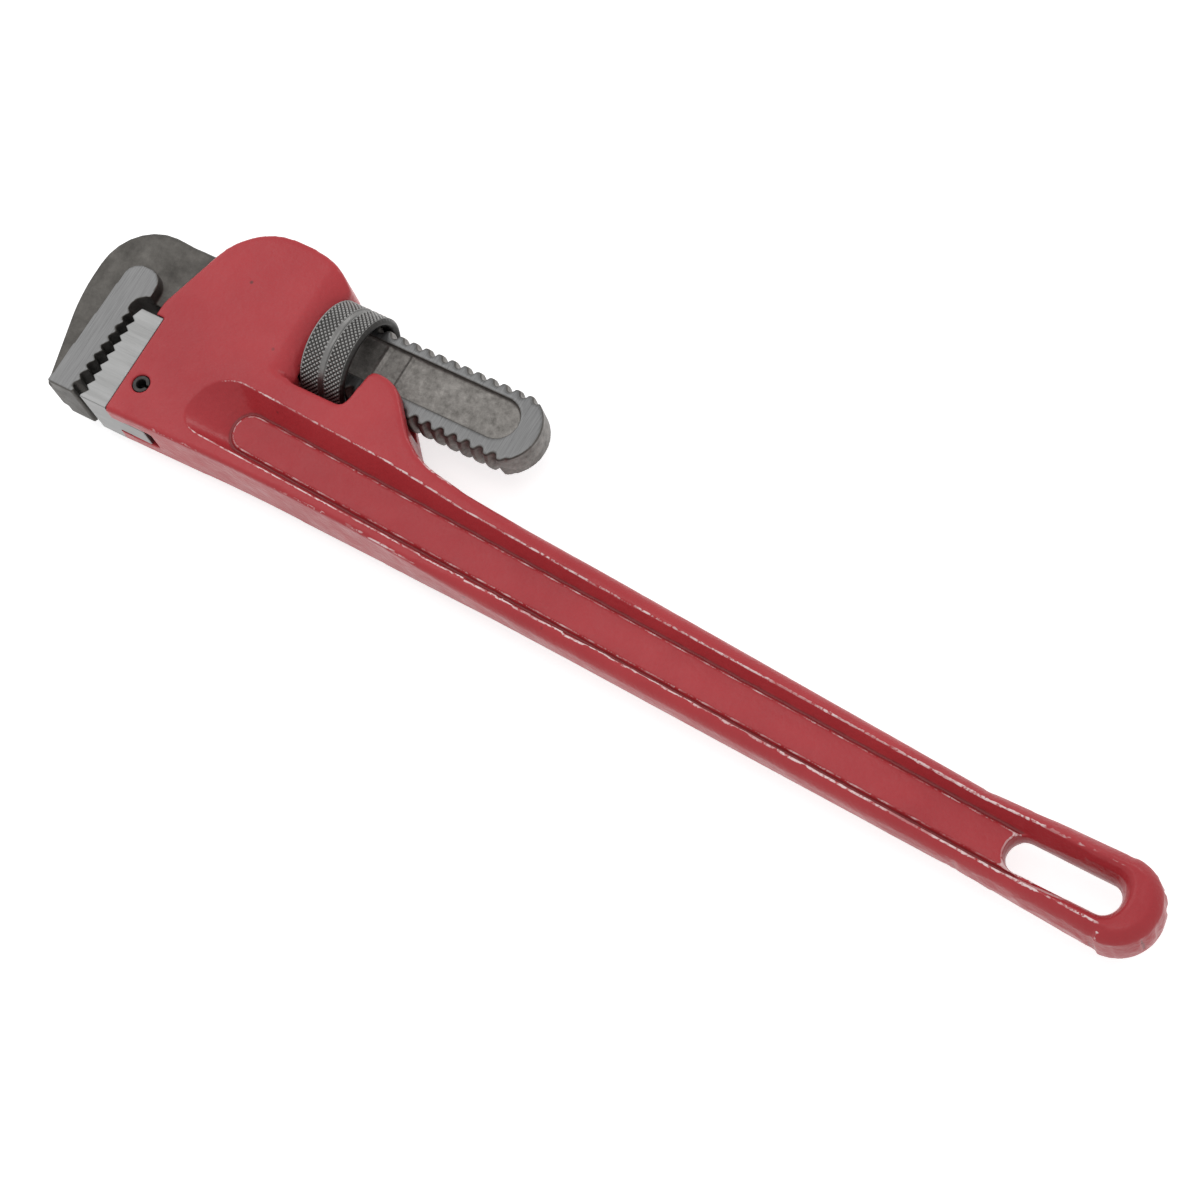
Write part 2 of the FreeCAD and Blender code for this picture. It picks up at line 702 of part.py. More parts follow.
def springPocket(body):
    # blind round pocket in the sleeve's floor
    floor = "(Sizes.crest_radius + Sizes.channel_foot_gap)"
    sketch = newSketch(body, "SpringPocketOutline", "XZ_Plane", f"{floor} - Sizes.overcut")
    drawCircle(sketch, "Sizes.coil_x", "0", "Sizes.coil_radius + Sizes.coil_wire + Sizes.coil_pocket_gap")
    addPocket(body, "SpringPocket", sketch, "Sizes.coil_pocket_depth + Sizes.overcut", "One side", True)


def channels(body):
    # a long recess in each face leaves rims and a web, and a low panel stands on the web
    turn = "Sizes.recess_round"
    floor = "Sizes.web_thick / 2"
    pocketBothFaces(body, "Recess", [
        (f"Sizes.recess_start + {turn}", "Sizes.recess_head_foot"),
        ("Sizes.recess_end", "Sizes.recess_tail_foot"),
        ("Sizes.recess_end", "Sizes.recess_tail_top"),
        ("Sizes.recess_start + Sizes.recess_sweep", "Sizes.recess_head_top", "Sizes.recess_sweep_round", 1),
        ("Sizes.recess_start", "Sizes.recess_head_top - Sizes.recess_sweep"),
        ("Sizes.recess_start", f"Sizes.recess_head_foot + {turn}", f"{turn} + Sizes.arc_spare", 1),
    ], floor)
    sketch = newSketch(body, "PanelOutline", "XY_Plane", floor)
    half = "(Sizes.panel_head_top - Sizes.panel_head_foot) / 2"
    drawOutline(sketch, [
        (f"Sizes.panel_start + {half}", "Sizes.panel_head_foot"),
        ("Sizes.panel_end", "Sizes.panel_tail_foot"),
        ("Sizes.panel_end", "Sizes.panel_tail_top"),
        (f"Sizes.panel_start + {half}", "Sizes.panel_head_top", f"{half} + Sizes.arc_spare", 1),
    ])
    panel = body.newObject("PartDesign::Pad", "Panel")
    panel.Profile = sketch
    panel.setExpression("Length", "Sizes.panel_rise")
    doc.recompute()
    mirrorThickness(body, "PanelMirrored", [panel])


def slotCorners(spread):
    # the hanging slot's outline, made larger all round by `spread`
    turn = f"(Sizes.slot_round + {spread})"
    arc = f"{turn} + Sizes.arc_spare"
    left = f"(Sizes.slot_start - {spread})"
    right = f"(Sizes.slot_end + {spread})"
    low = f"(Sizes.slot_foot - {spread})"
    high = f"(Sizes.slot_top + {spread})"
    return [
        (f"{left} + {turn}", low),
        (f"{right} - {turn}", low, arc, 1),
        (right, f"{low} + {turn}"),
        (right, f"{high} - {turn}", arc, 1),
        (f"{right} - {turn}", high),
        (f"{left} + {turn}", high, arc, 1),
        (left, f"{high} - {turn}"),
        (left, f"{low} + {turn}", arc, 1),
    ]


def hangSlot(body):
    # the slot goes right through the loop, and its mouth is bevelled on both faces
    sketch = newSketch(body, "HangSlotOutline", "XY_Plane")
    drawOutline(sketch, slotCorners("0"))
    addPocket(body, "HangSlot", sketch, "Sizes.head_thick * 2")
    mouth = newSketch(body, "SlotMouthOutline", "XY_Plane", "Sizes.loop_thick / 2 - Sizes.slot_mouth")
    drawOutline(mouth, slotCorners("Sizes.arc_spare"))
    bevel = body.newObject("PartDesign::Pocket", "SlotMouth")
    bevel.Profile = mouth
    bevel.Reversed = True
    bevel.TaperAngle = 45
    bevel.setExpression("Length", "Sizes.slot_mouth + Sizes.arc_spare")
    before = body.Shape.Volume
    doc.recompute()
    if body.Shape.Volume >= before:
        raise RuntimeError("the slot's mouth cuts nothing")
    mirrorThickness(body, "SlotMouthMirrored", [bevel])


def makeHousing():
    body = newBody("handle_housing")
    headBlock(body)
    handleBar(body)
    sleeveBevels(body)
    shankPassage(body)
    heelSeat(body)
    springPocket(body)
    channels(body)
    hangSlot(body)
    return body


def makeLeaf():
    # bowed strip between the sleeve's floor and the shank
    body = newBody("flat_spring")
    floor = "(-Sizes.crest_radius - Sizes.channel_foot_gap + Sizes.spring_play)"
    crown = "(-Sizes.crest_radius - Sizes.leaf_gap - Sizes.leaf_thick)"
    run = "(Sizes.leaf_end - Sizes.leaf_start)"
    rise = f"({crown} - {floor})"
    bend = f"(({run} / 2)^2 + {rise}^2) / (2 * {rise})"
    sketch = newSketch(body, "LeafOutline", "XY_Plane")
    drawOutline(sketch, [
        ("Sizes.leaf_start", floor, bend, -1),
        ("Sizes.leaf_end", floor),
        ("Sizes.leaf_end", f"{floor} + Sizes.leaf_thick", bend, 1),
        ("Sizes.leaf_start", f"{floor} + Sizes.leaf_thick"),
    ])
    addPad(body, "Leaf", sketch, "Sizes.leaf_width")
    return body


def makeCoil():
    body = newBody("coil_spring")
    floor = "(-Sizes.crest_radius - Sizes.channel_foot_gap)"
    foot = f"({floor} - Sizes.coil_pocket_depth + Sizes.coil_wire + Sizes.spring_play)"
    crown = "(-Sizes.crest_radius - Sizes.leaf_gap - Sizes.leaf_thick - Sizes.coil_play - Sizes.coil_wire)"
    sketch = newSketch(body, "WireOutline", "XY_Plane")
    drawCircle(sketch, "Sizes.coil_x + Sizes.coil_radius", foot, "Sizes.coil_wire")
    lowEnd = Vector(size("coil_x"), 0, 0)
    highEnd = Vector(size("coil_x"), size("coil_pocket_depth"), 0)
    axis = sketch.addGeometry(Part.LineSegment(lowEnd, highEnd), True)
    bind(sketch, Sketcher.Constraint("DistanceX", -1, 1, axis, 1, size("coil_x")), "Sizes.coil_x")
    sketch.addConstraint(Sketcher.Constraint("Vertical", axis))
    coil = body.newObject("PartDesign::AdditiveHelix", "Coil")
    coil.Profile = sketch
    coil.ReferenceAxis = (sketch, ["Axis0"])
    coil.Mode = 2
    coil.setExpression("Height", f"{crown} - {foot}")
    coil.setExpression("Turns", "Sizes.coil_turns")
    doc.recompute()
    return body


MAKERS = [makeHousing, makeHookJaw, makeHeelJaw, makePin, makeNut, makeLeaf, makeCoil]
bodies = [make() for make in MAKERS]
doc.recompute()

for each in doc.Objects:
    if "Invalid" in each.State or "Error" in each.State:
        raise RuntimeError(f"{each.Name} failed: {each.State}")
for body in bodies:
    if body.Shape.isNull() or not body.Shape.isValid() or len(body.Shape.Solids) != 1:
        raise RuntimeError(f"{body.Label} is not one valid solid")

os.makedirs("parts", exist_ok=True)
for body in bodies:
    body.Shape.exportStep(f"parts/{body.Label}.step")
    print(body.Label, round(body.Shape.Volume), "cubic millimetres")
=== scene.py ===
import bmesh
import bpy
import math
from mathutils import Matrix, Quaternion, Vector


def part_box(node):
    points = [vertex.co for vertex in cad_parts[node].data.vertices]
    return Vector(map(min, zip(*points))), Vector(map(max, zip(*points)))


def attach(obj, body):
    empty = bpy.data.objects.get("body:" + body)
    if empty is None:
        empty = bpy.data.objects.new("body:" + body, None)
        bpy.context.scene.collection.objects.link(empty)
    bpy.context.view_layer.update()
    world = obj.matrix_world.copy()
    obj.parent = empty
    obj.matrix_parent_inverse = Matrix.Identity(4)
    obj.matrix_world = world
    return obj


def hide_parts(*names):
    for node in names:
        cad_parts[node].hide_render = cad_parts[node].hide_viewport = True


# Pipe wrench. Pieces are drawn in millimetres with the shank's axis along X and the heel jaw's seat at x = 0,
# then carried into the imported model's own frame in metres.

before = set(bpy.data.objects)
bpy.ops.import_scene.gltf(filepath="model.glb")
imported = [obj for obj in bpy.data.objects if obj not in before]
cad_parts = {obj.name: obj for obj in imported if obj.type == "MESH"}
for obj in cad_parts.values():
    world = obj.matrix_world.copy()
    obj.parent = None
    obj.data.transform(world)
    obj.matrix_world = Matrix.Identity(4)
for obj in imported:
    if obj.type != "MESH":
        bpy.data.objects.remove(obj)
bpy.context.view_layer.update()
nutLow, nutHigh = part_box("adjusting_nut")
heelLow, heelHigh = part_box("heel_jaw")
tenonLength = 12.9
shankAxis = (nutLow + nutHigh) / 2
drawingOrigin = Vector((heelHigh.x - tenonLength / 1000, shankAxis.y, shankAxis.z))
toFrame = Matrix.Translation(drawingOrigin) @ Matrix.Scale(0.001, 4)
toDrawing = toFrame.inverted()
print("frame loaded")


def outlineFace(bm, corners, height=0.0):
    # a flat face from (x, y, rounding) corners, each rounded by a vertex bevel
    spots = [bm.verts.new((x, y, height)) for x, y, _ in corners]
    bm.faces.new(spots)
    for spot, (_, _, rounding) in zip(spots, corners):
        if rounding:
            bmesh.ops.bevel(bm, geom=[spot], offset=rounding, segments=7, profile=0.5, affect="VERTICES",
                            material=-1, clamp_overlap=True)
    bm.faces.ensure_lookup_table()
    return bm.faces[-1]


def prism(corners, low, high):
    bm = bmesh.new()
    outlineFace(bm, corners, low)
    made = bmesh.ops.extrude_face_region(bm, geom=bm.faces[:])
    raised = [part for part in made["geom"] if isinstance(part, bmesh.types.BMVert)]
    bmesh.ops.translate(bm, verts=raised, vec=(0, 0, high - low))
    bmesh.ops.recalc_face_normals(bm, faces=bm.faces[:])
    return bm


def block(low, high):
    bm = bmesh.new()
    middle = (Vector(low) + Vector(high)) / 2
    spread = Vector(high) - Vector(low)
    bmesh.ops.create_cube(bm, size=1, matrix=Matrix.Translation(middle) @ Matrix.Diagonal((*spread, 1)))
    return bm


def rod(centre, radius, length, axis="Z", sides=48):
    bm = bmesh.new()
    turn = {"X": Matrix.Rotation(math.pi / 2, 4, "Y"), "Y": Matrix.Rotation(math.pi / 2, 4, "X"), "Z": Matrix()}[axis]
    bmesh.ops.create_cone(bm, cap_ends=True, segments=sides, radius1=radius, radius2=radius, depth=length,
                          matrix=Matrix.Translation(centre) @ turn)
    return bm


def newPiece(name, bm):
    mesh = bpy.data.meshes.new(name)
    bm.to_mesh(mesh)
    bm.free()
    piece = bpy.data.objects.new(name, mesh)
    bpy.context.scene.collection.objects.link(piece)
    return piece


def applyModifiers(piece):
    bpy.context.view_layer.update()
    shaped = bpy.data.meshes.new_from_object(piece.evaluated_get(bpy.context.evaluated_depsgraph_get()))
    piece.modifiers.clear()
    piece.data = shaped
    return piece


def combine(piece, bm, operation):
    # boolean with a helper solid, which is thrown away
    helper = newPiece("helper", bm)
    cut = piece.modifiers.new("cut", "BOOLEAN")
    cut.operation = operation
    cut.solver = "EXACT"
    cut.object = helper
    applyModifiers(piece)
    bpy.data.objects.remove(helper)
    return piece


def remesh(piece, voxel, smoothing, keep=1.0):
    # even mesh whose edges are rounded as paint and casting round them
    even = piece.modifiers.new("even", "REMESH")
    even.mode = "VOXEL"
    even.voxel_size = voxel
    soften = piece.modifiers.new("soften", "SMOOTH")
    soften.factor = 0.5
    soften.iterations = smoothing
    if keep < 1:
        thin = piece.modifiers.new("thin", "DECIMATE")
        thin.ratio = keep
    return applyModifiers(piece)


def settle(piece, body, slotName, material, *nodes, smooth=True):
    piece.data.transform(toFrame)
    piece.data.shade_smooth() if smooth else piece.data.shade_flat()
    piece.data.materials.clear()
    piece.data.materials.append(material)
    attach(piece, body)
    if nodes:
        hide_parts(*nodes)
    print(piece.name, len(piece.data.polygons), "faces")
    return piece


def cadCopy(node, name):
    # a node's mesh in drawing millimetres, merged, with its flat faces made whole
    bm = bmesh.new()
    bm.from_mesh(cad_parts[node].data)
    bmesh.ops.transform(bm, matrix=toDrawing, verts=bm.verts[:])
    bmesh.ops.remove_doubles(bm, verts=bm.verts[:], dist=0.002)
    bmesh.ops.dissolve_limit(bm, angle_limit=math.radians(1.0), verts=bm.verts[:], edges=bm.edges[:])
    return newPiece(name, bm)


def startMaterial(name):
    material = bpy.data.materials.new(name)
    material.use_nodes = True
    tree = material.node_tree
    coords = tree.nodes.new("ShaderNodeTexCoord")
    return material, tree, tree.nodes["Principled BSDF"], coords


def addNode(tree, kind, inputs=None, **settings):
    node = tree.nodes.new(kind)
    for name, setting in settings.items():
        setattr(node, name, setting)
    for name, given in (inputs or {}).items():
        if isinstance(given, bpy.types.NodeSocket):
            tree.links.new(given, node.inputs[name])
        else:
            node.inputs[name].default_value = given
    return node


def noise(tree, coords, scale, detail=3.0, roughness=0.55, stretch=None):
    if stretch:
        coords = addNode(tree, "ShaderNodeMapping", {"Vector": coords, "Scale": stretch}).outputs[0]
    made = addNode(tree, "ShaderNodeTexNoise", {"Vector": coords, "Scale": scale, "Detail": detail,
                                                "Roughness": roughness})
    return made.outputs["Fac"]


def ramp(tree, fac, low, high, start=0.0, end=1.0):
    # remaps fac from low..high to start..end
    made = addNode(tree, "ShaderNodeMapRange", {"Value": fac, "From Min": low, "From Max": high,
                                                "To Min": start, "To Max": end})
    made.clamp = True
    return made.outputs["Result"]


def calculate(tree, operation, first, second=0.0):
    return addNode(tree, "ShaderNodeMath", {0: first, 1: second}, operation=operation).outputs[0]


def mixColours(tree, fac, first, second):
    made = addNode(tree, "ShaderNodeMix", {0: fac}, data_type="RGBA")
    for index, given in ((6, first), (7, second)):
        if isinstance(given, bpy.types.NodeSocket):
            tree.links.new(given, made.inputs[index])
        else:
            made.inputs[index].default_value = (*given, 1)
    return made.outputs[2]


def bump(tree, height, distance, strength=1.0, normal=None):
    inputs = {"Height": height, "Distance": distance, "Strength": strength}
    if normal:
        inputs["Normal"] = normal
    return addNode(tree, "ShaderNodeBump", inputs).outputs[0]


redEnamelLook = {
    "red": (0.475, 0.045, 0.053),
    "deepRed": (0.41, 0.034, 0.042),
    "ridgeGlintAndChip": (0.90, 0.72, 0.72),
    "dustSpeckAndHollowShade": (0.10, 0.028, 0.028),
    "roughness": (0.30, 0.46),
    "pebbleScale": 620.0,
    "pebbleDepth": 0.00026,
}


def redEnamel():
    look = redEnamelLook
    material, tree, shader, coords = startMaterial("redEnamel")
    place = coords.outputs["Object"]
    cloud = noise(tree, place, 28.0, 4.0)
    colour = mixColours(tree, ramp(tree, cloud, 0.35, 0.68), look["deepRed"], look["red"])
    bend = addNode(tree, "ShaderNodeAttribute", attribute_name="bend").outputs["Fac"]
    ridge = ramp(tree, bend, 0.31, 0.45)
    paintedHollowShade = ramp(tree, bend, -0.12, -0.40)
    # painted shade: the hollows, where the surface bends inward, are darkened toward the dark red that also colours the
    # dust specks
    colour = mixColours(tree, calculate(tree, "MULTIPLY", paintedHollowShade, 0.55), colour, look["dustSpeckAndHollowShade"])
    broken = ramp(tree, noise(tree, place, 480.0, 5.0, 0.7), 0.38, 0.50)
    patchy = ramp(tree, noise(tree, place, 70.0, 2.0), 0.34, 0.52, 0.25, 1.0)
    along, across, _ = addNode(tree, "ShaderNodeSeparateXYZ", {0: place}).outputs
    facing = addNode(tree, "ShaderNodeSeparateXYZ", {0: coords.outputs["Normal"]}).outputs[2]
    # painted highlight and worn paint: pale broken lines along the ridges whose faces tilt half up, standing in for
    # glints and partly for chipped paint
    glintAndChips = calculate(tree, "MULTIPLY", ridge, broken)
    for limit in (patchy, ramp(tree, across, drawingOrigin.y - 0.0225, drawingOrigin.y - 0.0245),
                  ramp(tree, along, drawingOrigin.x + 0.017, drawingOrigin.x + 0.021),
                  ramp(tree, calculate(tree, "ABSOLUTE", facing), 0.40, 0.60)):
        glintAndChips = calculate(tree, "MULTIPLY", glintAndChips, limit)
    colour = mixColours(tree, calculate(tree, "MULTIPLY", glintAndChips, 0.9), colour, look["ridgeGlintAndChip"])
    dots = addNode(tree, "ShaderNodeTexVoronoi", {"Vector": place, "Scale": 95.0}).outputs["Distance"]
    dust = calculate(tree, "MULTIPLY", ramp(tree, dots, 0.075, 0.035), ramp(tree, noise(tree, place, 60.0), 0.56, 0.62))
    colour = mixColours(tree, calculate(tree, "MULTIPLY", dust, 0.8), colour, look["dustSpeckAndHollowShade"])
    tree.links.new(colour, shader.inputs["Base Color"])
    tree.links.new(ramp(tree, noise(tree, place, 140.0, 3.0), 0.3, 0.7, *look["roughness"]), shader.inputs["Roughness"])
    pebble = noise(tree, place, look["pebbleScale"], 2.0, 0.5)
    grain = noise(tree, place, 2100.0, 2.0)
    waves = noise(tree, place, 110.0, 2.0)
    normal = bump(tree, waves, 0.0005, 0.5)
    normal = bump(tree, pebble, look["pebbleDepth"], 0.8, normal)
    normal = bump(tree, grain, 0.00003, 0.6, normal)
    tree.links.new(normal, shader.inputs["Normal"])
    shader.inputs["Coat Weight"].default_value = 0.12
    shader.inputs["Coat Roughness"].default_value = 0.13
    shader.inputs["Specular IOR Level"].default_value = 0.22
    return material


forgedLook = {
    "dark": (0.062, 0.058, 0.053),
    "mid": (0.118, 0.111, 0.102),
    "ground": (0.182, 0.182, 0.182),
    "groundDark": (0.118, 0.118, 0.118),
    "cast": (0.235, 0.222, 0.208),
}


def forgedSteel():
    # dark forging, ground bright on the tooth strip's faces and on the shank's two flats
    look = forgedLook
    material, tree, shader, coords = startMaterial("forgedSteel")
    place = coords.outputs["Object"]
    along, _, up = addNode(tree, "ShaderNodeSeparateXYZ", {0: place}).outputs
    facing = addNode(tree, "ShaderNodeSeparateXYZ", {0: coords.outputs["Normal"]}).outputs[2]
    flat = ramp(tree, calculate(tree, "ABSOLUTE", facing), 0.80, 0.94)
    height = calculate(tree, "ABSOLUTE", calculate(tree, "SUBTRACT", up, drawingOrigin.z))
    stripFace = ramp(tree, height, 0.0110, 0.0115)
    shankFace = calculate(tree, "MULTIPLY", ramp(tree, height, 0.00500, 0.00535), ramp(tree, height, 0.00615, 0.00590))
    onShank = ramp(tree, along, drawingOrigin.x + 0.020, drawingOrigin.x + 0.022)
    inPocket = calculate(tree, "MULTIPLY", onShank, ramp(tree, height, 0.0050, 0.0046))
    groundArea = calculate(tree, "MAXIMUM", stripFace, calculate(tree, "MULTIPLY", shankFace, onShank))
    groundArea = calculate(tree, "MULTIPLY", groundArea, flat)
    mottle = noise(tree, place, 150.0, 7.0, 0.7)
    forged = mixColours(tree, ramp(tree, mottle, 0.32, 0.70), look["dark"], look["mid"])
    cast = mixColours(tree, ramp(tree, noise(tree, place, 420.0, 5.0, 0.7), 0.30, 0.66), (0.11, 0.103, 0.095), look["cast"])
    forged = mixColours(tree, inPocket, forged, cast)
    streak = noise(tree, place, 1.0, 5.0, 0.65, (2400.0, 90.0, 300.0))
    ground = mixColours(tree, ramp(tree, streak, 0.34, 0.66), look["groundDark"], look["ground"])
    tree.links.new(mixColours(tree, groundArea, forged, ground), shader.inputs["Base Color"])
    rough = ramp(tree, noise(tree, place, 160.0, 4.0), 0.3, 0.7, 0.42, 0.62)
    fine = ramp(tree, streak, 0.3, 0.7, 0.26, 0.42)
    made = addNode(tree, "ShaderNodeMix", {0: groundArea, 2: rough, 3: fine}, data_type="FLOAT")
    tree.links.new(made.outputs[0], shader.inputs["Roughness"])
    pits = noise(tree, place, 420.0, 5.0, 0.65)
    rest = calculate(tree, "SUBTRACT", 1.0, groundArea)
    lumps = calculate(tree, "MULTIPLY", pits, rest)
    normal = bump(tree, lumps, 0.00022, 0.7)
    normal = bump(tree, calculate(tree, "MULTIPLY", streak, groundArea), 0.00002, 0.6, normal)
    tree.links.new(normal, shader.inputs["Normal"])
    shader.inputs["Metallic"].default_value = 0.85
    return material


def groundSteel():
    material, tree, shader, coords = startMaterial("groundSteel")
    place = coords.outputs["Object"]
    streak = noise(tree, place, 1.0, 5.0, 0.65, (110.0, 2300.0, 400.0))
    broad = noise(tree, place, 1.0, 3.0, 0.5, (30.0, 420.0, 60.0))
    colour = mixColours(tree, ramp(tree, streak, 0.3, 0.7), (0.168, 0.168, 0.166), (0.26, 0.26, 0.257))
    colour = mixColours(tree, ramp(tree, broad, 0.42, 0.7, 0.0, 0.35), colour, (0.34, 0.34, 0.34))
    # painted shade: concave creases, where pointiness is low, darkened toward near black
    edge = addNode(tree, "ShaderNodeNewGeometry").outputs["Pointiness"]
    colour = mixColours(tree, ramp(tree, edge, 0.47, 0.38, 0.0, 0.7), colour, (0.06, 0.055, 0.05))
    tree.links.new(colour, shader.inputs["Base Color"])
    tree.links.new(ramp(tree, streak, 0.3, 0.7, 0.27, 0.45), shader.inputs["Roughness"])
    tree.links.new(bump(tree, streak, 0.00002, 0.6), shader.inputs["Normal"])
    shader.inputs["Metallic"].default_value = 0.9
    return material


def blackPin():
    material, tree, shader, coords = startMaterial("blackPin")
    place = coords.outputs["Object"]
    colour = mixColours(tree, noise(tree, place, 500.0, 3.0), (0.018, 0.017, 0.017), (0.06, 0.055, 0.052))
    tree.links.new(colour, shader.inputs["Base Color"])
    tree.links.new(ramp(tree, noise(tree, place, 900.0), 0.3, 0.7, 0.35, 0.6), shader.inputs["Roughness"])
    tree.links.new(bump(tree, noise(tree, place, 1500.0), 0.00003, 0.5), shader.inputs["Normal"])
    shader.inputs["Metallic"].default_value = 0.6
    return material


def knurledSteel():
    # painted shade: dark in the knurl's valleys, the bore and the ends; bright steel on its points and on the waist
    material, tree, shader, coords = startMaterial("knurledSteel")
    place = coords.outputs["Object"]
    across = addNode(tree, "ShaderNodeVectorMath", {0: place, 1: tuple(drawingOrigin)}, operation="SUBTRACT").outputs[0]
    radial = addNode(tree, "ShaderNodeVectorMath", {0: across, 1: (0, 1, 1)}, operation="MULTIPLY").outputs[0]
    radius = addNode(tree, "ShaderNodeVectorMath", {0: radial}, operation="LENGTH").outputs["Value"]
    along = addNode(tree, "ShaderNodeSeparateXYZ", {0: across}).outputs[0]
    tips = calculate(tree, "MULTIPLY", ramp(tree, radius, 0.01668, 0.01710), ramp(tree, along, 0.0684, 0.0681))
    waist = ramp(tree, calculate(tree, "ABSOLUTE", calculate(tree, "SUBTRACT", along, 0.0607)), 0.0013, 0.0010)
    steelNotValleyShade = calculate(tree, "MAXIMUM", tips, calculate(tree, "MULTIPLY", waist, 0.55))
    patches = noise(tree, place, 130.0, 4.0)
    # painted shade: the near-black colour of the valleys, bore and ends
    low = mixColours(tree, patches, (0.020, 0.019, 0.018), (0.045, 0.043, 0.041))
    high = mixColours(tree, patches, (0.27, 0.266, 0.26), (0.42, 0.415, 0.405))
    tree.links.new(mixColours(tree, steelNotValleyShade, low, high), shader.inputs["Base Color"])
    tree.links.new(ramp(tree, noise(tree, place, 300.0), 0.3, 0.7, 0.32, 0.5), shader.inputs["Roughness"])
    tree.links.new(bump(tree, noise(tree, place, 900.0), 0.00003, 0.5), shader.inputs["Normal"])
    shader.inputs["Metallic"].default_value = 0.85
    return material


def springSteel():
    material, tree, shader, coords = startMaterial("springSteel")
    place = coords.outputs["Object"]
    tint = noise(tree, place, 90.0, 3.0)
    tree.links.new(mixColours(tree, tint, (0.10, 0.11, 0.15), (0.26, 0.24, 0.22)), shader.inputs["Base Color"])
    tree.links.new(ramp(tree, noise(tree, place, 700.0), 0.3, 0.7, 0.25, 0.42), shader.inputs["Roughness"])
    shader.inputs["Metallic"].default_value = 0.9
    return material


enamel, forged, ground, pinBlack, knurled, springy = (
    redEnamel(), forgedSteel(), groundSteel(), blackPin(), knurledSteel(), springSteel()
)
print("materials made")


castingSizes = {
    "headThick": 23.4,
    "side": [
        (-4.0, -55.2, 0), (-4.0, -13.7, 1.0), (8.5, 25.7, 16.5), (37.0, 25.7, 5.0), (45.6, 23.0, 3.5),
        (51.3, 18.6, 1.2), (51.3, -19.4, 1.6), (73.2, -19.4, 2.2), (75.4, -4.1, 2.4), (81.6, -4.1, 2.6),
        (87.2, -6.4, 2.6), (91.2, -11.0, 3.0), (103.6, -24.2, 9.0), (126.0, -27.4, 8.0), (180.0, -30.2, 12.0),
        (322.0, -39.6, 0), (322.0, -64.2, 0), (180.0, -58.4, 12.0), (126.0, -56.2, 8.0), (103.4, -55.0, 6.0),
        (52.0, -54.0, 10.0),
    ],
    "thickAt": [(-10.0, 23.4), (98.0, 23.4), (126.0, 18.7), (180.0, 16.2), (316.0, 16.8), (340.0, 19.0)],
    "flangeTop": [(103.6, -24.2), (126.0, -27.4), (180.0, -30.2), (320.5, -39.5), (384.0, -38.4)],
    "flangeFoot": [(103.4, -55.0), (126.0, -56.2), (180.0, -58.4), (322.0, -64.2), (384.0, -68.1)],
    "flangeThick": [(98.0, 23.4), (126.0, 18.7), (180.0, 16.2), (316.0, 16.8), (322.0, 17.3), (342.0, 21.0), (400.0, 21.0)],
    "flangeRound": [(104.0, 0.0), (150.0, 4.6), (312.0, 6.2), (342.0, 7.6), (400.0, 7.6)],
    "loopCentre": (369.05, -53.25, 0.0),
    "loopRadius": 14.85,
    "loop": [(312.0, -39.6, 0), (383.9, -38.4, 14.9), (383.9, -68.1, 14.9), (312.0, -63.6, 0)],
    "loopThickAt": [(300.0, 14.0), (318.0, 16.4), (342.0, 21.0), (400.0, 21.0)],
    "slot": [(333.0, -47.2, 5.3), (370.2, -47.6, 5.4), (370.2, -58.6, 5.4), (333.0, -58.2, 5.3)],
    "slotFlare": [(4.0, 0.5), (7.0, 1.5), (9.0, 2.8), (10.8, 5.0), (13.0, 9.0)],
    "webThick": 6.4,
    "panelThick": 8.6,
    "panel": [(40.4, -32.6, 6.2), (345.0, -48.2, 0), (345.0, -59.4, 0), (40.4, -45.2, 6.2)],
    "floor": [(39.4, -31.6, 7.2), (337.0, -46.6, 0), (356.0, -47.5, 0), (356.0, -59.0, 0), (337.0, -60.5, 0),
              (39.4, -46.4, 7.2)],
    "rimStart": [(25.2, -26.2, 13.0), (25.2, -48.4, 8.5)],
    "rimEndHeight": 8.6,
    "rimEnd": [(337.0, -44.0, 0), (356.0, -44.8, 0), (356.0, -60.8, 0), (337.0, -61.3, 0)],
    "pin": (6.2, -41.9),
}


def between(pairs, along):
    # straight-line reading of (x, value) pairs
    for (left, first), (right, second) in zip(pairs, pairs[1:]):
        if along <= right:
            share = max(0.0, (along - left) / (right - left))
            return first + (second - first) * share
    return pairs[-1][1]


def thickened(corners, stations):
    # an outline given unit thickness, cut at each station, then made as thick as the stations say
    bm = prism(corners, -0.5, 0.5)
    for along, _ in stations:
        bmesh.ops.bisect_plane(bm, geom=bm.verts[:] + bm.edges[:] + bm.faces[:], plane_co=(along, 0, 0),
                               plane_no=(1, 0, 0), dist=0.0001)
    for vert in bm.verts:
        vert.co.z *= between(stations, vert.co.x)
    return bm


def roundRims(bm, rounding, chosen):
    # rounds the chosen edges between a face of the wrench and its narrow side
    rims = [edge for edge in bm.edges if edge.calc_face_angle(0) > 0.9 and chosen(edge.verts[0].co, edge.verts[1].co)
            and abs(edge.verts[0].co.z - edge.verts[1].co.z) < 3]
    bmesh.ops.bevel(bm, geom=rims, offset=rounding, segments=6, profile=0.5, affect="EDGES", material=-1,
                    clamp_overlap=True)
    return bm


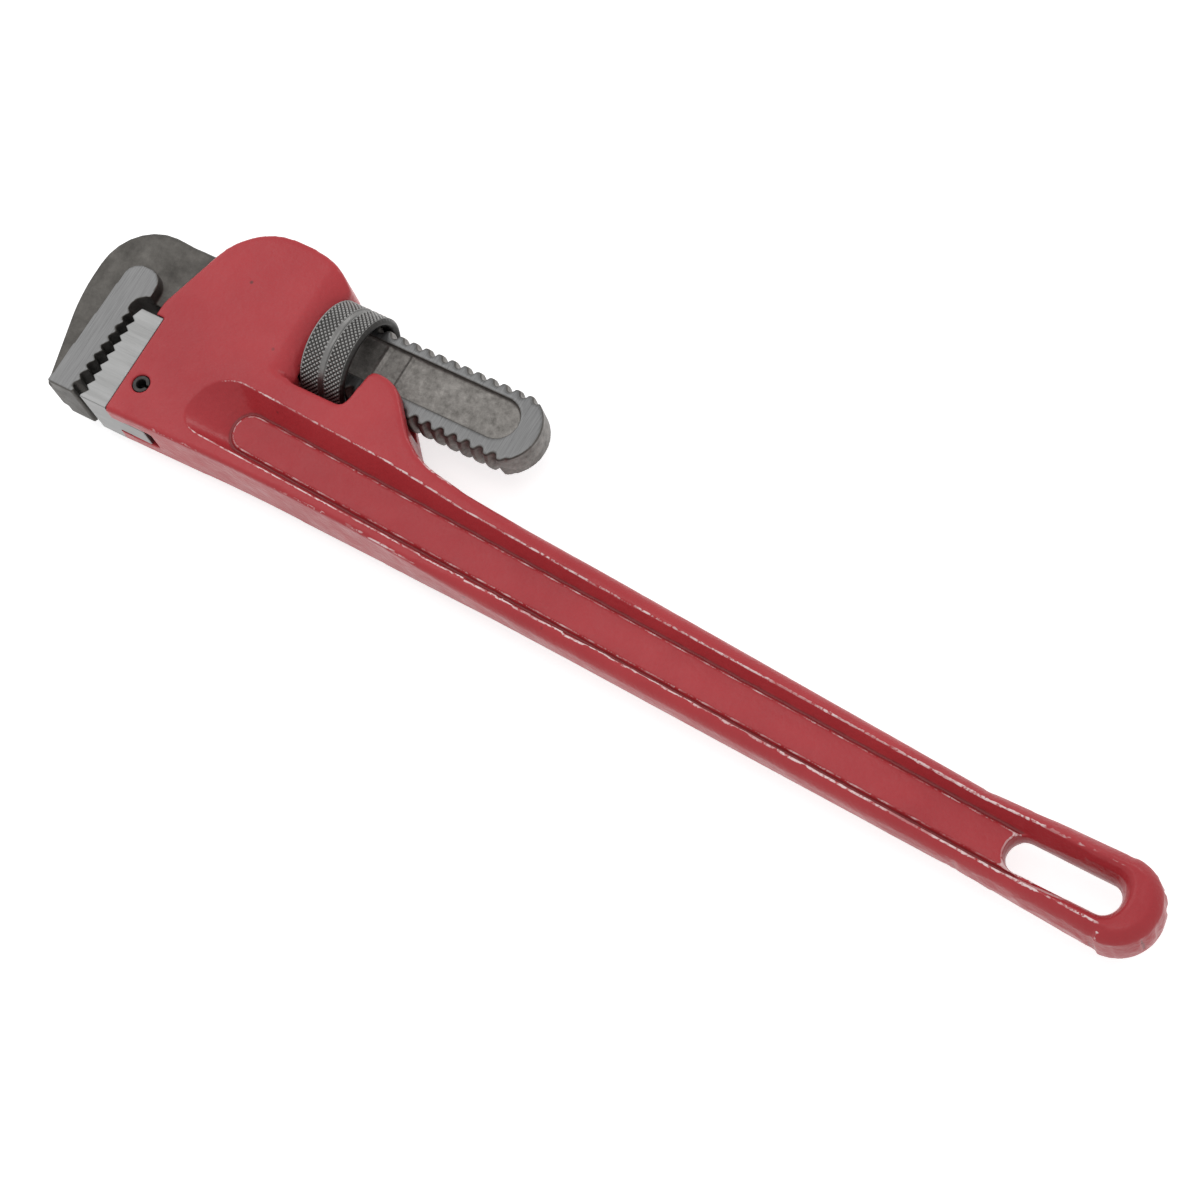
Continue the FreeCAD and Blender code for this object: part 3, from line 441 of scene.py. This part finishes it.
def wallCutter(side):
    # the recess of one face: from the web's floor its walls lean outward to the rims and on past them
    sizes = castingSizes
    web = sizes["webThick"] / 2
    top = 14.0
    bm = bmesh.new()
    headReach = (top - web) / (sizes["headThick"] / 2 - web)
    tailReach = (top - web) / (sizes["rimEndHeight"] - web)
    floor = sizes["floor"]
    rims = [sizes["rimStart"][0], *sizes["rimEnd"], sizes["rimStart"][1]]
    rise = []
    for (x, y, _), (rimX, rimY, rounding), reach in zip(floor, rims, (headReach, *[tailReach] * 4, headReach)):
        rise.append((x + (rimX - x) * reach, y + (rimY - y) * reach, rounding * reach if rounding else 0))
    low = outlineFace(bm, floor, web * side)
    high = outlineFace(bm, rise, top * side)
    edges = [edge for face in (low, high) for edge in face.edges]
    bmesh.ops.bridge_loops(bm, edges=edges)
    bmesh.ops.recalc_face_normals(bm, faces=bm.faces[:])
    return bm


def slotCutter():
    # the hanging slot, opening out toward both faces
    corners = castingSizes["slot"]
    centre = Vector((351.6, -52.9, 0))
    halfLength, halfWidth = 18.6, 5.5
    bm = prism(corners, -1.0, 1.0)
    for side in (1, -1):
        face = next(each for each in bm.faces if each.normal.z * side > 0.9)
        lastHeight, lastSpread = 1.0, 0.0
        for height, spread in castingSizes["slotFlare"]:
            made = bmesh.ops.extrude_face_region(bm, geom=[face])
            face = next(part for part in made["geom"] if isinstance(part, bmesh.types.BMFace))
            stretch = Vector(((halfLength + spread) / (halfLength + lastSpread),
                              (halfWidth + spread) / (halfWidth + lastSpread), 1))
            bmesh.ops.scale(bm, verts=face.verts[:], vec=stretch, space=Matrix.Translation(-centre))
            bmesh.ops.translate(bm, verts=face.verts[:], vec=(0, 0, (height - lastHeight) * side))
            lastHeight, lastSpread = height, spread
    flats = [face for face in bm.faces if abs(face.normal.z) > 0.99 and abs(face.calc_center_median().z) < 12.9]
    bmesh.ops.delete(bm, geom=flats, context="FACES_ONLY")
    bmesh.ops.recalc_face_normals(bm, faces=bm.faces[:])
    return bm


def roundFlanges(mesh):
    # rolls the outer edges of the handle and its loop over, more and more toward the loop
    sizes = castingSizes
    centre = Vector(sizes["loopCentre"])
    for vert in mesh.vertices:
        x, y, z = vert.co
        rounding = between(sizes["flangeRound"], x)
        if rounding <= 0:
            continue
        top, foot = between(sizes["flangeTop"], x) - y, y - between(sizes["flangeFoot"], x)
        inside, outward = (top, Vector((0, 1, 0))) if top < foot else (foot, Vector((0, -1, 0)))
        if x > centre.x:
            arm = Vector((x, y, 0)) - centre
            inside, outward = sizes["loopRadius"] - arm.length, arm.normalized()
        half = between(sizes["flangeThick"], x) / 2
        over, rise = rounding - inside, abs(z) - (half - rounding)
        reach = math.hypot(over, rise)
        if over > 0 and rise > 0 and reach > rounding:
            vert.co += outward * over * (rounding / reach - 1)
            vert.co.z = math.copysign(half - rounding + rise * rounding / reach, z)


def writeBend(piece):
    # how strongly the surface bends at each point, in 1/mm: above zero on ridges, below zero in hollows
    mesh = piece.data
    total = [0.0] * len(mesh.vertices)
    count = [0] * len(mesh.vertices)
    for edge in mesh.edges:
        first, second = (mesh.vertices[index] for index in edge.vertices)
        run = second.co - first.co
        bend = (second.normal - first.normal).dot(run) / max(run.length_squared, 0.01)
        for index in edge.vertices:
            total[index] += bend
            count[index] += 1
    bends = mesh.attributes.new("bend", "FLOAT", "POINT")
    bends.data.foreach_set("value", [each / max(number, 1) for each, number in zip(total, count)])


def makeCasting():
    sizes = castingSizes
    casting = newPiece("casting", thickened(sizes["side"], sizes["thickAt"]))
    slope = [(42.6, 11.72, 0), (45.4, 10.95, 0), (47.8, 9.85, 0), (49.9, 8.4, 0), (51.6, 6.6, 0), (56.0, 6.6, 0),
             (56.0, 16.0, 0), (42.6, 16.0, 0)]
    for side in (1, -1):
        wedge = prism(slope, -18.5, 32.0)
        lift = Matrix(((1, 0, 0, 0), (0, 0, 1, 0), (0, side, 0, 0), (0, 0, 0, 1)))
        bmesh.ops.transform(wedge, matrix=lift, verts=wedge.verts[:])
        bmesh.ops.recalc_face_normals(wedge, faces=wedge.faces[:])
        combine(casting, wedge, "DIFFERENCE")
    combine(casting, thickened(sizes["loop"], sizes["loopThickAt"]), "UNION")
    remesh(casting, 0.8, 7, 0.25)
    roundFlanges(casting.data)
    print("casting's outer form", len(casting.data.polygons), "faces")
    for side in (1, -1):
        combine(casting, wallCutter(side), "DIFFERENCE")
    combine(casting, prism(sizes["panel"], -sizes["panelThick"] / 2, sizes["panelThick"] / 2), "UNION")
    combine(casting, slotCutter(), "DIFFERENCE")
    cuts = [
        block((-12, -60, -15), (0.0, -18.1, 15)),
        block((-12, -18.2, -15), (-3.6, 10, 15)),
        block((-9, -15.5, -6.1), (55, 14.7, 6.1)),
        block((71, -15.5, -6.1), (107.5, 2, 6.1)),
        block((-5, -60, -5.0), (16.1, -24.6, 5.0)),
        rod((*sizes["pin"], 0), 3.25, 40),
        rod((25.0, -20.4, 0), 4.5, 10.4, "Y", 32),
    ]
    for cut in cuts:
        combine(casting, cut, "DIFFERENCE")
    remesh(casting, 0.5, 1, 0.36)
    writeBend(casting)
    return settle(casting, "housing", "red_enamel", enamel, "handle_housing")


makeCasting()


hookSizes = {
    "plateThickAt": [(-60.0, 16.0), (-20.0, 16.0), (-16.5, 15.7), (-13.5, 15.0), (-11.0, 13.9), (-8.5, 12.7),
                     (-6.0, 11.8), (-4.0, 11.4), (0.0, 11.4)],
    "plateRound": 3.4,
    "plate": [
        (-26.4, -54.8, 1.0), (-35.15, -22.0, 8.0), (-35.15, 10.4, 19.5), (-4.0, 10.4, 0), (-4.0, -13.9, 0),
        (-8.9, -13.9, 0), (-10.6, -14.3, 0), (-13.0, -16.4, 0), (-13.8, -18.8, 0), (-13.8, -20.4, 0),
        (-16.0, -54.8, 0),
    ],
    "stripThick": 23.4,
    "strip": [
        (-24.4, -54.8, 0.5), (-22.6, -4.6, 5.6), (-9.2, -4.8, 5.4), (-8.9, -13.9, 0.6), (-10.6, -14.3, 0),
        (-13.0, -16.4, 0), (-13.8, -18.8, 0), (-13.8, -20.4, 0),
    ],
    "toothX": -12.2,
    "toothTop": -21.6,
    "toothLead": 3.8,
    "toothPitch": 4.0,
    "toothDepth": 1.7,
    "toothBack": 1.3,
    "teeth": 8,
    "flare": 0.06,
    "neck": -8.4,
    "ribs": [72.2, 81.6],
}


def makeHook():
    sizes = hookSizes
    plate = thickened(sizes["plate"], sizes["plateThickAt"])
    roundRims(plate, sizes["plateRound"], lambda a, b: max(a.x, b.x) < -17.0 or (min(a.y, b.y) > 5 and max(a.x, b.x) < -4.5))
    hook = newPiece("hookJaw", plate)
    corners = sizes["strip"] + [(sizes["toothX"], sizes["toothTop"], 0)]
    for tooth in range(sizes["teeth"]):
        tip = sizes["toothTop"] - sizes["toothPitch"] * tooth - sizes["toothLead"]
        lean = sizes["toothX"] - sizes["flare"] * sizes["toothPitch"] * tooth
        corners += [(lean - sizes["toothDepth"], tip + sizes["toothBack"], 0), (lean, tip, 0)]
    corners.append((sizes["toothX"] - 1.9, -54.8, 0))
    combine(hook, prism(corners, -sizes["stripThick"] / 2, sizes["stripThick"] / 2), "UNION")
    shank = bmesh.new()
    shank.from_mesh(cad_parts["hook_jaw"].data)
    bmesh.ops.transform(shank, matrix=toDrawing, verts=shank.verts[:])
    bmesh.ops.remove_doubles(shank, verts=shank.verts[:], dist=0.002)
    bmesh.ops.bisect_plane(shank, geom=shank.verts[:] + shank.edges[:] + shank.faces[:],
                           plane_co=(sizes["neck"], 0, 0), plane_no=(1, 0, 0), dist=0.0001, clear_inner=True)
    bmesh.ops.holes_fill(shank, edges=[edge for edge in shank.edges if edge.is_boundary], sides=0)
    bmesh.ops.recalc_face_normals(shank, faces=shank.faces[:])
    combine(hook, shank, "UNION")
    for along in sizes["ribs"]:
        for side in (1, -1):
            combine(hook, block((along, -6.0, 3.3 * side), (along + 0.9, 7.8, 4.05 * side)), "UNION")
    remesh(hook, 0.45, 2, 0.75)
    return settle(hook, "jaw", "forged_steel", forged, "hook_jaw")


makeHook()


def makeHeelJaw():
    heel = cadCopy("heel_jaw", "heelJaw")
    soften = heel.modifiers.new("edges", "BEVEL")
    soften.width = 0.28
    soften.segments = 2
    soften.limit_method = "ANGLE"
    soften.angle_limit = math.radians(35)
    applyModifiers(heel)
    settle(heel, "housing", "ground_steel", ground, "heel_jaw", smooth=False)


def makePin():
    pin = cadCopy("heel_jaw_pin", "rollPin")
    soften = pin.modifiers.new("edges", "BEVEL")
    soften.width = 0.35
    soften.segments = 2
    soften.limit_method = "ANGLE"
    soften.angle_limit = math.radians(50)
    applyModifiers(pin)
    settle(pin, "housing", "black_pin", pinBlack, "heel_jaw_pin", smooth=False)


makeHeelJaw()
makePin()


nutSizes = {
    "start": 52.1,
    "end": 69.3,
    "radius": 17.15,
    "bore": 13.75,
    "mouth": 15.3,
    "waist": 16.2,
    "waistHalf": 1.2,
    "startChamfer": 0.5,
    "endChamfer": 1.1,
    "knurlCount": 60,
    "knurlDepth": 0.55,
    "steps": 768,
    "rows": 42,
    "ridge": [(-1.55, -13.95), (1.55, -13.95), (0.75, -12.5), (-0.75, -12.5)],
    "ridgeStart": 54.59,
    "ridgeTurns": 2.5,
    "pitch": 5.08,
}


def triangleWave(turns):
    return abs((turns % 1.0) * 2.0 - 1.0)


def makeNut():
    sizes = nutSizes
    middle = (sizes["start"] + sizes["end"]) / 2
    outer = sizes["radius"]
    bands = [(sizes["start"] + sizes["startChamfer"], middle - sizes["waistHalf"]),
             (middle + sizes["waistHalf"], sizes["end"] - sizes["endChamfer"])]
    near, far = ([(low + (high - low) * row / sizes["rows"], outer) for row in range(sizes["rows"] + 1)]
                 for low, high in bands)
    profile = [(sizes["start"], outer - sizes["startChamfer"])] + near
    profile += [(bands[0][1] + 0.45, sizes["waist"]), (bands[1][0] - 0.45, sizes["waist"])]
    profile += far + [(sizes["end"], outer - sizes["endChamfer"]), (sizes["end"], sizes["mouth"]),
                (sizes["end"] - 1.6, sizes["bore"]), (sizes["start"] + 1.6, sizes["bore"]),
                (sizes["start"], sizes["mouth"])]
    bm = bmesh.new()
    spots = [bm.verts.new((along, radius, 0)) for along, radius in profile]
    edges = [bm.edges.new((first, second)) for first, second in zip(spots, spots[1:] + spots[:1])]
    bmesh.ops.spin(bm, geom=spots + edges, cent=(0, 0, 0), axis=(1, 0, 0), angle=2 * math.pi,
                   steps=sizes["steps"], use_merge=True, use_duplicate=False)
    bmesh.ops.remove_doubles(bm, verts=bm.verts[:], dist=0.0005)
    bmesh.ops.recalc_face_normals(bm, faces=bm.faces[:])
    slant = sizes["knurlCount"] / (2 * math.pi * outer) * math.tan(math.radians(47))
    for vert in bm.verts:
        radius = math.hypot(vert.co.y, vert.co.z)
        inBand = any(low + 0.05 < vert.co.x < high - 0.05 for low, high in bands)
        if radius > outer - 0.01 and inBand:
            turn = math.atan2(vert.co.z, vert.co.y) / (2 * math.pi) * sizes["knurlCount"]
            run = (vert.co.x - middle) * slant
            height = min(triangleWave(turn + run), triangleWave(turn - run))
            scale = 1 - sizes["knurlDepth"] * (1 - min(1.0, height * 1.3)) / radius
            vert.co.y *= scale
            vert.co.z *= scale
    ridge = [bm.verts.new((sizes["ridgeStart"] + along, radius, 0)) for along, radius in sizes["ridge"]]
    foot = bm.faces.new(ridge)
    steps = round(sizes["ridgeTurns"] * 48)
    bmesh.ops.spin(bm, geom=[foot], cent=(0, 0, 0), axis=(1, 0, 0),
                   dvec=(sizes["pitch"] / 48, 0, 0), angle=2 * math.pi * sizes["ridgeTurns"], steps=steps,
                   use_merge=False, use_duplicate=False)
    bmesh.ops.recalc_face_normals(bm, faces=bm.faces[:])
    nut = newPiece("knurledNut", bm)
    return settle(nut, "nut", "knurled_steel", knurled, "adjusting_nut")


makeNut()

for nodeName in ("flat_spring", "coil_spring"):
    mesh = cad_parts[nodeName].data
    mesh.materials.clear()
    mesh.materials.append(springy)
print("pieces made")


stageSizes = {
    "floorHalf": 6.0,
    "floorColour": (0.80, 0.80, 0.80),
    "floorLift": 0.66,
    "worldLight": 0.64,
    "keyPlace": (-0.50, 0.14, 1.02),
    "keyAcross": 0.42,
    "keyAlong": 2.2,
    "keyPower": 3.6,
    "rimPlace": (0.10, 1.10, 0.62),
    "rimSpread": 0.35,
    "rimPower": 1.6,
}
cameraSizes = {
    "aim": (0.006429, -0.01627, 0.017182),
    "distance": 1.0186,
    "azimuth": 56.87,
    "elevation": 63.95,
    "roll": 28.34,
    "lens": 97.79,
}


def makeFloor():
    bm = bmesh.new()
    bmesh.ops.create_grid(bm, x_segments=1, y_segments=1, size=stageSizes["floorHalf"])
    bmesh.ops.translate(bm, verts=bm.verts[:], vec=(0, 0, -0.0004))
    floor = newPiece("floor", bm)
    material = bpy.data.materials.new("paleFloor")
    material.use_nodes = True
    tree = material.node_tree
    tree.nodes.clear()
    diffuse = addNode(tree, "ShaderNodeBsdfDiffuse", {"Color": (*stageSizes["floorColour"], 1)})
    glow = addNode(tree, "ShaderNodeEmission", {"Color": (1, 1, 1, 1)})
    rays = addNode(tree, "ShaderNodeLightPath")
    seen = calculate(tree, "MAXIMUM", rays.outputs["Is Camera Ray"], rays.outputs["Is Glossy Ray"])
    seen = calculate(tree, "MAXIMUM", seen, rays.outputs["Is Transmission Ray"])
    tree.links.new(calculate(tree, "MULTIPLY", seen, stageSizes["floorLift"]), glow.inputs["Strength"])
    both = addNode(tree, "ShaderNodeAddShader", {0: diffuse.outputs[0], 1: glow.outputs[0]})
    end = addNode(tree, "ShaderNodeOutputMaterial", {0: both.outputs[0]})
    end.is_active_output = True
    floor.data.materials.append(material)


def makeWorld():
    world = bpy.data.worlds.new("studio")
    bpy.context.scene.world = world
    world.use_nodes = True
    tree = world.node_tree
    light = tree.nodes["Background"]
    light.inputs[0].default_value = (1, 1, 1, 1)
    light.inputs[1].default_value = stageSizes["worldLight"]
    white = addNode(tree, "ShaderNodeBackground", {"Color": (1, 1, 1, 1), "Strength": 1.0})
    rays = addNode(tree, "ShaderNodeLightPath")
    seen = calculate(tree, "MAXIMUM", rays.outputs["Is Camera Ray"], rays.outputs["Is Glossy Ray"])
    seen = calculate(tree, "MAXIMUM", seen, rays.outputs["Is Transmission Ray"])
    both = addNode(tree, "ShaderNodeMixShader", {0: seen, 1: light.outputs[0], 2: white.outputs[0]})
    tree.links.new(both.outputs[0], tree.nodes["World Output"].inputs[0])


def makeLamp(name, place, across, along, power):
    # an oblong soft box over the wrench, its long side across the handle's narrow ridges
    lamp = bpy.data.lights.new(name, "AREA")
    lamp.shape = "RECTANGLE"
    lamp.size = across
    lamp.size_y = along
    lamp.energy = power
    holder = bpy.data.objects.new(name, lamp)
    bpy.context.scene.collection.objects.link(holder)
    holder.location = place
    holder.rotation_euler = (Vector((0, 0, 0.01)) - Vector(place)).to_track_quat("-Z", "Y").to_euler()


def makeCamera():
    sizes = cameraSizes
    lens = bpy.data.cameras.new("camera")
    lens.sensor_width = 36
    lens.lens = sizes["lens"]
    lens.clip_end = 30
    camera = bpy.data.objects.new("camera", lens)
    bpy.context.scene.collection.objects.link(camera)
    around, above = math.radians(sizes["azimuth"]), math.radians(sizes["elevation"])
    back = Vector((math.sin(around) * math.cos(above), -math.cos(around) * math.cos(above), math.sin(above)))
    camera.location = Vector(sizes["aim"]) + back * sizes["distance"]
    camera.rotation_mode = "QUATERNION"
    upright = (-back).to_track_quat("-Z", "Y")
    camera.rotation_quaternion = upright @ Quaternion((0, 0, 1), -math.radians(sizes["roll"]))
    bpy.context.scene.camera = camera


makeFloor()
makeWorld()
makeLamp("key", stageSizes["keyPlace"], stageSizes["keyAcross"], stageSizes["keyAlong"], stageSizes["keyPower"])
makeLamp("rim", stageSizes["rimPlace"], stageSizes["rimSpread"], stageSizes["rimSpread"], stageSizes["rimPower"])
makeCamera()
bpy.context.scene.view_settings.view_transform = "Standard"
print("stage set")
